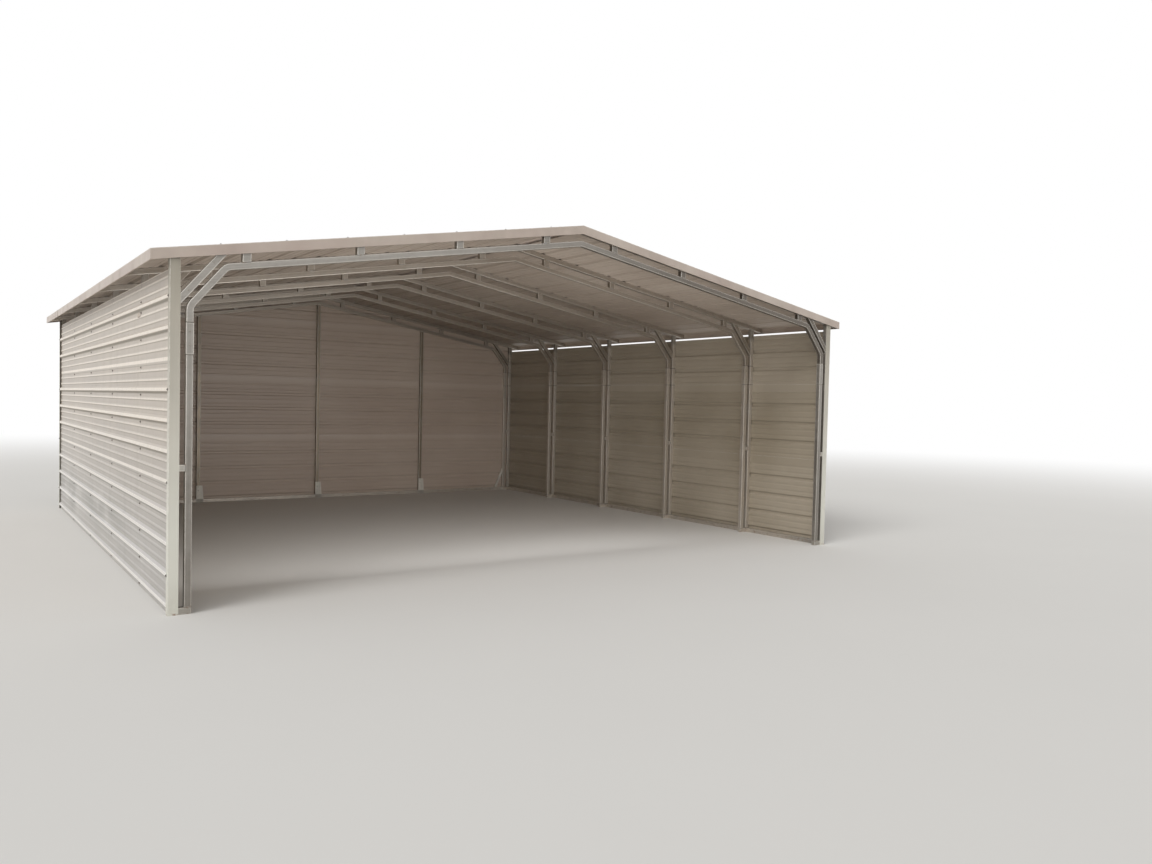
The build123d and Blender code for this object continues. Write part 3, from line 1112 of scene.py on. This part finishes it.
@dataclass
class FoldedTrims:
    """The folded trims over the corners, the roof's edges and the ridge."""

    corner_face: str = "#BAB5A9"
    corner_top_shade: float = 0.5
    roof_face: str = "#B3A399"
    eave_lap: float = 2.35

    def dress(self) -> None:
        """Gives each trim its paint, worn along its own fold."""
        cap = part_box("ridge_cap")[1]
        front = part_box("corner_trims_front")
        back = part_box("corner_trims_back")
        slope = (tuple(LAYOUT.roof_normal), cap.z * math.cos(LAYOUT.roof_angle))
        across, along = (1.0, 0.0, 0.0), (0.0, 1.0, 0.0)
        rakes = tuple(f"rake_trim_{end}_{side}" for end in ("front", "back")
                      for side in ("left", "right"))
        corner = {"streak": (8.0, 8.0, 0.6), "face": self.corner_face, "eave": self.corner_top_shade}
        edge = {"streak": (5.0, 5.0, 2.0), "face": self.roof_face}
        paints = {
            SatinTrimPaint(
                "front_corner_trim_paint",
                FoldLine((across, front[1].x), (along, -front[0].y)), **corner,
            ): ("corner_trims_front",),
            SatinTrimPaint(
                "back_corner_trim_paint",
                FoldLine((across, back[1].x), (along, back[1].y)), **corner,
            ): ("corner_trims_back",),
            SatinTrimPaint("rake_trim_paint", FoldLine(slope, (along, cap.y)), **edge): rakes,
            SatinTrimPaint(
                "eave_trim_paint", FoldLine(slope, (across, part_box("eave_trim_right")[1].x)),
                lap=self.eave_lap, **edge,
            ): ("eave_trim_left", "eave_trim_right"),
            SatinTrimPaint(
                "ridge_cap_paint", FoldLine(slope, (across, 0.0)), (1.0, 8.0, 1.0), self.roof_face
            ): ("ridge_cap",),
        }
        for paint, names in paints.items():
            for name in names:
                put_on(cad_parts[name], paint.material())
            log.info("%s: %d nodes", paint.name, len(names))


@dataclass
class WallScrews:
    """Screws in the flats under each high rib, at every frame and post."""

    below_rib: float = 0.045
    rail_height: float = 0.026
    under_top: float = 0.01
    under_roof: float = 0.05
    along_slip: float = 0.006
    up_slip: float = 0.003
    screw: WasherScrew = WasherScrew()

    def rows(self, top: float) -> list[float]:
        """Works out the heights of the screws of a wall.

        Args:
            top: height of the wall's top at these screws.

        Returns:
            The heights, from the lowest.
        """
        ribs = LAYOUT.ribs(top)
        rows = [self.rail_height] + [rib - self.below_rib for rib in ribs[1:]]
        last = ribs[-1] + self.below_rib
        return rows + ([last] if last < top - self.under_top else [])

    def slips(self, dice: random.Random) -> tuple[float, float]:
        """Draws how far a screw is off its line, along the wall and up."""
        along = dice.uniform(-self.along_slip, self.along_slip)
        return along, dice.uniform(-self.up_slip, self.up_slip)

    def on_side(self, side: int, dice: random.Random) -> Iterator[Place]:
        """Draws the places of one side wall's screws.

        Args:
            side: -1 for the left wall, 1 for the right.
            dice: draws how far each screw is off its line.

        Returns:
            The point of each screw, and the way that its head looks.
        """
        x = side * (LAYOUT.wall_face + LAYOUT.sheet_thickness)
        for y in LAYOUT.frame_ys[1:]:
            for z in self.rows(LAYOUT.side_top):
                along, up = self.slips(dice)
                yield Vector((x, y + along, z + up)), Vector((side, 0, 0))

    def on_back(self, dice: random.Random) -> Iterator[Place]:
        """Draws the places of the back wall's screws.

        Args:
            dice: draws how far each screw is off its line.

        Returns:
            The point of each screw, and the way that its head looks.
        """
        y = LAYOUT.back_face + LAYOUT.sheet_thickness
        low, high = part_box("back_posts")
        inner, post = LAYOUT.inner_leg_x, LAYOUT.post_x
        for x in (-inner, -post, (high.x + low.x) / 2, post, inner):
            for z in self.rows(LAYOUT.roof_z(x) - self.under_roof):
                along, up = self.slips(dice)
                yield Vector((x + along, y, z + up)), Vector((0, 1, 0))

    def build(self) -> None:
        """Makes the screws of the three walls."""
        dice = random.Random(11)
        for side, word in ((-1, "left"), (1, "right")):
            places = self.on_side(side, dice)
            self.screw.build_set(f"wall_screws_{word}", "painted_sheet", places, dice)
        self.screw.build_set("wall_screws_back", "painted_sheet", self.on_back(dice), dice)


@dataclass
class RoofScrews:
    """Screws through the roof sheets and the trims on them."""

    above_rib: float = 0.045
    off_cap: float = 0.03
    slip: float = 0.006
    rake_start: float = 3.306
    rake_step: float = 0.4915
    rake_end: float = 0.05
    rake_edge: float = 0.022
    eave_step: float = 0.61
    eave_edge: float = 0.02
    cap_edge: float = 0.03
    end_gap: float = 0.3
    screw: WasherScrew = WasherScrew()

    def on_sheets(self, side: int, up: Vector, dice: random.Random) -> Iterator[Place]:
        """Draws the places of the screws in one slope's sheets.

        Args:
            side: -1 for the left slope, 1 for the right.
            up: the slope's upward normal.
            dice: draws how far each screw is off its line.

        Returns:
            The point of each screw, and the way that its head looks.
        """
        lean = math.cos(LAYOUT.roof_angle)
        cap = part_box("ridge_cap")[1].x
        for rib in LAYOUT.ribs(LAYOUT.eave):
            x = (LAYOUT.eave - rib - self.above_rib) * lean
            if x > cap + self.off_cap:
                for y in LAYOUT.frame_ys:
                    slipped = y + dice.uniform(-self.slip, self.slip)
                    yield LAYOUT.on_roof(side * x, slipped, LAYOUT.sheet_thickness), up

    def on_trims(self, side: int, up: Vector) -> list[Place]:
        """Lists the places of the screws in one slope's trims.

        Args:
            side: -1 for the left slope, 1 for the right.
            up: the slope's upward normal.

        Returns:
            The point of each screw, and the way that its head looks.
        """
        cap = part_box("ridge_cap")[1]
        eave_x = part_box("eave_trim_right")[1].x
        found = []
        x = self.rake_start
        while x > cap.x + self.rake_end:
            found += [(x, y) for y in (-cap.y + self.rake_edge, cap.y - self.rake_edge)]
            x -= self.rake_step
        length = 2 * (cap.y - self.end_gap)
        count = int(length / self.eave_step)
        for n in range(count + 1):
            y = -cap.y + self.end_gap + n * length / count
            found += [(x, y) for x in (eave_x - self.eave_edge, cap.x - self.cap_edge)]
        out = LAYOUT.rib_depth + LAYOUT.sheet_thickness
        return [(LAYOUT.on_roof(side * x, y, out), up) for x, y in found]

    def build(self) -> None:
        """Makes the screws of both slopes and of the roof's trims."""
        dice = random.Random(23)
        for side, word in ((-1, "left"), (1, "right")):
            up = Vector((side * LAYOUT.roof_normal.x, 0, LAYOUT.roof_normal.z))
            sheets = self.on_sheets(side, up, dice)
            self.screw.build_set(f"roof_screws_{word}", "painted_sheet", sheets, dice)
            trims = self.on_trims(side, up)
            self.screw.build_set(f"roof_trim_screws_{word}", "painted_trim", trims, dice)


@dataclass
class CornerTrimScrews:
    """Screws that hold the corner trims, on every third rib."""

    every: int = 3
    from_edge: float = 0.010
    into_leaf: float = 0.062
    screw: WasherScrew = WasherScrew(washer_radius=0.011)

    def build(self) -> None:
        """Makes the screws of the four corner trims."""
        ribs = LAYOUT.ribs(LAYOUT.side_top)[1 :: self.every]
        front, (low, high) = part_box("corner_trims_front")[1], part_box("corner_trims_back")
        places = []
        for x, y in ((front.x, front.y - self.from_edge), (high.x, low.y + self.from_edge)):
            places += [(Vector((side * x, y, z)), Vector((side, 0, 0)))
                       for side in (-1, 1) for z in ribs]
        # The back trims are screwed through their wide leaf too.
        places += [(Vector((side * (high.x - self.into_leaf), high.y, z)), Vector((0, 1, 0)))
                   for side in (-1, 1) for z in ribs]
        self.screw.build_set("corner_trim_screws", "painted_trim", places, random.Random(5))


@dataclass
class FrameScrews:
    """Screws in the sleeves, the knee braces, the foot brackets and the corner braces."""

    sleeve_end: float = 0.065
    brace_end: float = 0.075
    brace_foot: tuple[float, float] = (0.012, 0.046)
    brace_head: tuple[float, float] = (0.052, 0.016)
    bracket_drops: tuple[float, ...] = (0.018, 0.075)
    bracket_foot: tuple[float, float] = (0.035, 0.020)
    corner_head: tuple[float, float] = (0.022, 0.075)
    corner_foot: tuple[float, float] = (0.118, 0.030)
    screw: WasherScrew = WasherScrew(sealed=False)

    def through(self, x: float, y: float, z: float) -> list[Place]:
        """The two screws, one on the front and one on the back, of a tube's middle."""
        half = LAYOUT.tube / 2
        return [(Vector((x, y + way * half, z)), Vector((0, way, 0))) for way in (-1, 1)]

    def on_braces(self) -> list[tuple[float, float]]:
        """Works out where a right-hand knee brace is screwed, near both of its ends.

        Returns:
            The two points, in x and z.
        """
        low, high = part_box("knee_braces_right")
        # The brace's middle line runs between the middles of its two slanting ends.
        foot = Vector((high.x - self.brace_foot[0], low.z + self.brace_foot[1]))
        head = Vector((low.x + self.brace_head[0], high.z - self.brace_head[1]))
        way = (head - foot).normalized()
        return [tuple(foot + way * self.brace_end), tuple(head - way * self.brace_end)]

    def on_plates(self) -> list[Place]:
        """Lists the places of the screws in the foot brackets and the corner braces.

        Returns:
            The point of each screw, and the way that its head looks.
        """
        low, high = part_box("post_brackets")
        right, up = self.bracket_foot
        points = []
        for x in (-LAYOUT.post_x, 0.0, LAYOUT.post_x):
            points += [(x, low.y, high.z - drop) for drop in self.bracket_drops]
            points.append((x + right, low.y, low.z + up))
        low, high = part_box("corner_braces")
        (head_x, head_z), (foot_x, foot_z) = self.corner_head, self.corner_foot
        for side in (-1, 1):
            points += [(side * (high.x - head_x), low.y, high.z - head_z),
                       (side * (high.x - foot_x), low.y, low.z + foot_z)]
        return [(Vector(point), Vector((0, -1, 0))) for point in points]

    def build(self) -> None:
        """Makes the screws of all frames."""
        low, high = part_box("leg_sleeves")
        inner = LAYOUT.inner_leg_x
        places = []
        for side in (-1, 1):
            for y in LAYOUT.frame_ys:
                for z in (low.z + self.sleeve_end, high.z - self.sleeve_end):
                    places += self.through(side * inner, y, z)
                    point = Vector((side * (2 * inner - high.x), y, z))
                    places.append((point, Vector((-side, 0, 0))))
                for x, z in self.on_braces():
                    places += self.through(side * x, y, z)
        places += self.on_plates()
        self.screw.build_set("frame_screws", "galvanised_tube", places, random.Random(31))


@dataclass
class WeldBeads:
    """Weld beads where spacers and legs meet other tubes, outside the sheets' reach."""

    radius: float = 0.0035
    ripple: float = 0.006
    spacer_half: float = 0.033
    spacer_step: float = 0.905
    spacer_height: float = 0.070
    trim_leaf: float = 0.076

    def bead(self, parts: SmallParts, start: Vector, end: Vector, dice: random.Random) -> None:
        """Adds a straight bead of small round section, closed at both ends.

        Args:
            parts: the set that takes it.
            start: one end of its middle line.
            end: the other end.
            dice: draws the height of each ripple.
        """
        way = end - start
        steps = max(1, round(way.length / self.ripple))
        sizes = [self.radius * dice.uniform(0.8, 1.15) for _ in range(steps + 1)]
        rings = [(size, way.length * n / steps) for n, size in enumerate(sizes)]
        parts.stack(standing(start, way), 6, rings, 0)

    def joints(self) -> list[tuple[tuple[float, float], tuple[float, float]]]:
        """Lists the welded joints of a right-hand half frame.

        Returns:
            The two ends of each joint, in x and z.
        """
        half = LAYOUT.tube / 2
        low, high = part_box("leg_spacers")
        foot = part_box("inner_legs_right")[0].z
        inner, outer = LAYOUT.inner_leg_x, LAYOUT.leg_x
        found = [((x, low.z), (x, high.z)) for x in (inner + half, outer - half)]
        found += [((x - half, foot), (x + half, foot)) for x in (inner, outer)]
        low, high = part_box("rafter_spacers_right")
        x = high.x - self.spacer_half
        while x > low.x:
            ends = (x - self.spacer_half, x + self.spacer_half)
            for line in (LAYOUT.tube, LAYOUT.tube + self.spacer_height):
                found.append(tuple((end, LAYOUT.roof_z(end, line)) for end in ends))
            x -= self.spacer_step
        return found

    def inner_corners(self) -> list[tuple[float, float]]:
        """Lists the corners of a right-hand half frame that run from front to back.

        Returns:
            Each corner, in x and z.
        """
        half = LAYOUT.tube / 2
        low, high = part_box("leg_spacers")
        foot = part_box("inner_legs_right")[0].z
        inner = LAYOUT.inner_leg_x
        return [(inner - half, foot), (inner + half, low.z), (inner + half, high.z),
                (LAYOUT.leg_x - half, foot)]

    def build(self) -> None:
        """Makes the beads of all frames."""
        dice = random.Random(47)
        parts = SmallParts("weld_beads", (WELD_PAINT,), "galvanised_tube")
        half = LAYOUT.tube / 2
        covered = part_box("corner_trims_front")[1].x - self.trim_leaf
        for number, y in enumerate(LAYOUT.frame_ys, start=1):
            for (x1, z1), (x2, z2) in self.joints():
                for side in (-1, 1):
                    if side > 0 and number == LAYOUT.frames:
                        continue  # the back sheets lie here
                    if side < 0 and number == 1 and max(x1, x2) > covered:
                        continue  # the corner trim lies here
                    for mirror in (-1, 1):
                        start = Vector((mirror * x1, y + side * half, z1))
                        end = Vector((mirror * x2, y + side * half, z2))
                        self.bead(parts, start, end, dice)
            for x, z in self.inner_corners():
                for mirror in (-1, 1):
                    start = Vector((mirror * x, y - half, z))
                    end = Vector((mirror * x, y + half, z))
                    self.bead(parts, start, end, dice)
        parts.build()


# Studio ---------------------------------------------------------------------------------


@dataclass(frozen=True)
class Viewpoint:
    """The camera: its place, its turns in degrees and its focal length in pixels."""

    place: Triple = (-5.019, -10.890, 1.630)
    yaw: float = 35.221
    pitch: float = 1.829
    roll: float = -1.288
    focal_pixels: float = 901.281
    picture_width: int = 1152
    sensor: float = 36.0
    sees: float = 500.0

    def build(self) -> None:
        """Makes the camera and sets it as the scene's."""
        yaw, pitch, roll = (math.radians(a) for a in (self.yaw, self.pitch, self.roll))
        flat = math.cos(pitch)
        forward = Vector((math.sin(yaw) * flat, math.cos(yaw) * flat, -math.sin(pitch)))
        level = Vector((math.cos(yaw), -math.sin(yaw), 0.0))
        down = forward.cross(level)
        right = level * math.cos(roll) + down * math.sin(roll)
        down = down * math.cos(roll) - level * math.sin(roll)
        turn = Matrix((right, -down, -forward)).transposed().to_4x4()
        data = bpy.data.cameras.new("viewpoint")
        data.sensor_width = self.sensor
        data.sensor_fit = "HORIZONTAL"
        data.lens = self.focal_pixels * self.sensor / self.picture_width
        data.clip_end = self.sees
        camera = bpy.data.objects.new("viewpoint", data)
        bpy.context.scene.collection.objects.link(camera)
        camera.matrix_world = Matrix.Translation(self.place) @ turn
        bpy.context.scene.camera = camera


@dataclass(frozen=True)
class Studio:
    """A plain pale floor that fades to a white background, under plain soft light."""

    floor: str = "#E6E4E0"
    reach: float = 90.0
    floor_drop: float = 0.0005
    fade_from: float = 9.0
    fade_to: float = 30.0
    world_light: float = 0.52
    side_strength: float = 1.25
    side_softness: float = 30.0
    side_way: Triple = (1.0, 0.4, -0.9)
    fill_strength: float = 1.0
    fill_softness: float = 60.0
    fill_way: Triple = (0.8, 1.0, -0.16)
    panel_power: float = 45.0
    panel_size: tuple[float, float] = (5.6, 1.4)
    panel_place: Triple = (-0.7, -3.5, 1.3)
    panel_way: Triple = (0.0, 1.0, 0.35)
    white: tuple[float, ...] = (1.0, 1.0, 1.0, 1.0)

    def seen(self, node: Adder, *rays: str) -> bpy.types.Node:
        """Tells the rays that the background has to look white to.

        Args:
            node: adds a node to the tree.
            rays: the kinds of ray, as Light Path names them.

        Returns:
            The node that gives 1 for a ray of one of these kinds.
        """
        path = node("LightPath")
        found = node("Math MAXIMUM", {0: (path, rays[0]), 1: (path, rays[1])})
        for ray in rays[2:]:
            found = node("Math MAXIMUM", {0: found, 1: (path, ray)})
        return found

    def build_floor(self) -> None:
        """Makes the floor, whose far part is as white as the background."""
        mesh = bpy.data.meshes.new("studio_floor")
        far = self.reach
        corners = [(-far, -far, 0), (far, -far, 0), (far, far, 0), (-far, far, 0)]
        mesh.from_pydata(corners, [], [(0, 1, 2, 3)])
        floor = bpy.data.objects.new("studio_floor", mesh)
        floor.location.z = -self.floor_drop
        bpy.context.scene.collection.objects.link(floor)
        made = bpy.data.materials.new("matt_studio_floor")
        made.use_nodes = True
        made.node_tree.nodes.clear()
        node = partial(add_node, made.node_tree)
        coords = (node("TexCoord"), "Object")
        grain = node("TexNoise", {"Vector": coords, "Scale": 0.6, "Detail": 3.0})
        tone = node("MapRange", {0: grain, 3: 0.97, 4: 1.0})
        colour = node("VectorMath SCALE", {0: linear(self.floor)[:3], "Scale": tone})
        matt = node("BsdfDiffuse", {"Color": colour})
        white = node("Emission", {"Color": self.white, "Strength": 1.0})
        away = (node("VectorMath LENGTH", {0: coords}), "Value")
        share = node(
            "MapRange", {0: away, 1: self.fade_from, 2: self.fade_to},
            interpolation_type="SMOOTHSTEP",
        )
        seen = self.seen(node, "Is Camera Ray", "Is Glossy Ray")
        share = node("Math MULTIPLY", {0: share, 1: seen})
        node("OutputMaterial", {"Surface": node("MixShader", {0: share, 1: matt, 2: white})})
        mesh.materials.append(made)

    def build_world(self) -> None:
        """Makes a white background and an even light from all sides."""
        world = bpy.data.worlds.new("soft_studio")
        bpy.context.scene.world = world
        world.use_nodes = True
        world.node_tree.nodes.clear()
        node = partial(add_node, world.node_tree)
        seen = self.seen(node, "Is Camera Ray", "Is Glossy Ray", "Is Transmission Ray")
        light = node("MapRange", {0: seen, 3: self.world_light, 4: 1.0})
        sky = node("Background", {"Color": self.white, "Strength": light})
        node("OutputWorld", {"Surface": sky})

    def hang_lamp(
        self, name: str, kind: str, energy: float, way: Triple, **settings: float | str
    ) -> bpy.types.Object:
        """Makes one lamp.

        Args:
            name: what it is called.
            kind: Blender's name of its kind.
            energy: its light, in watts, or for a sun in watts a square metre.
            way: the way that its light goes.
            settings: its other attributes.

        Returns:
            The lamp.
        """
        data = bpy.data.lights.new(name, kind)
        data.energy = energy
        for setting, value in settings.items():
            setattr(data, setting, value)
        lamp = bpy.data.objects.new(name, data)
        lamp.rotation_euler = Vector(way).to_track_quat("-Z", "Y").to_euler()
        bpy.context.scene.collection.objects.link(lamp)
        return lamp

    def build(self) -> None:
        """Makes the floor, the background, the two outer lamps and the panel inside."""
        self.build_floor()
        self.build_world()
        for name, strength, softness, way in (
            ("side_lamp", self.side_strength, self.side_softness, self.side_way),
            ("front_fill", self.fill_strength, self.fill_softness, self.fill_way),
        ):
            self.hang_lamp(name, "SUN", strength, way, angle=math.radians(softness))
        # A soft panel just inside the opening, which lights only the inside.
        width, height = self.panel_size
        panel = self.hang_lamp(
            "inner_panel", "AREA", self.panel_power, self.panel_way,
            shape="RECTANGLE", size=width, size_y=height,
        )
        panel.location = self.panel_place
        panel.visible_camera = False


def main() -> None:
    """Builds every sub-assembly in order, then the studio and the camera."""
    logging.basicConfig(level=logging.INFO, format="%(name)s: %(message)s")
    bpy.context.scene.view_settings.view_transform = "Standard"
    for skins in (TubeFrames(), SheetSkins(), FoldedTrims()):
        skins.dress()
    for parts in (WallScrews(), RoofScrews(), CornerTrimScrews(), FrameScrews(), WeldBeads()):
        parts.build()
    Studio().build()
    Viewpoint().build()


if __name__ == "__main__":
    main()
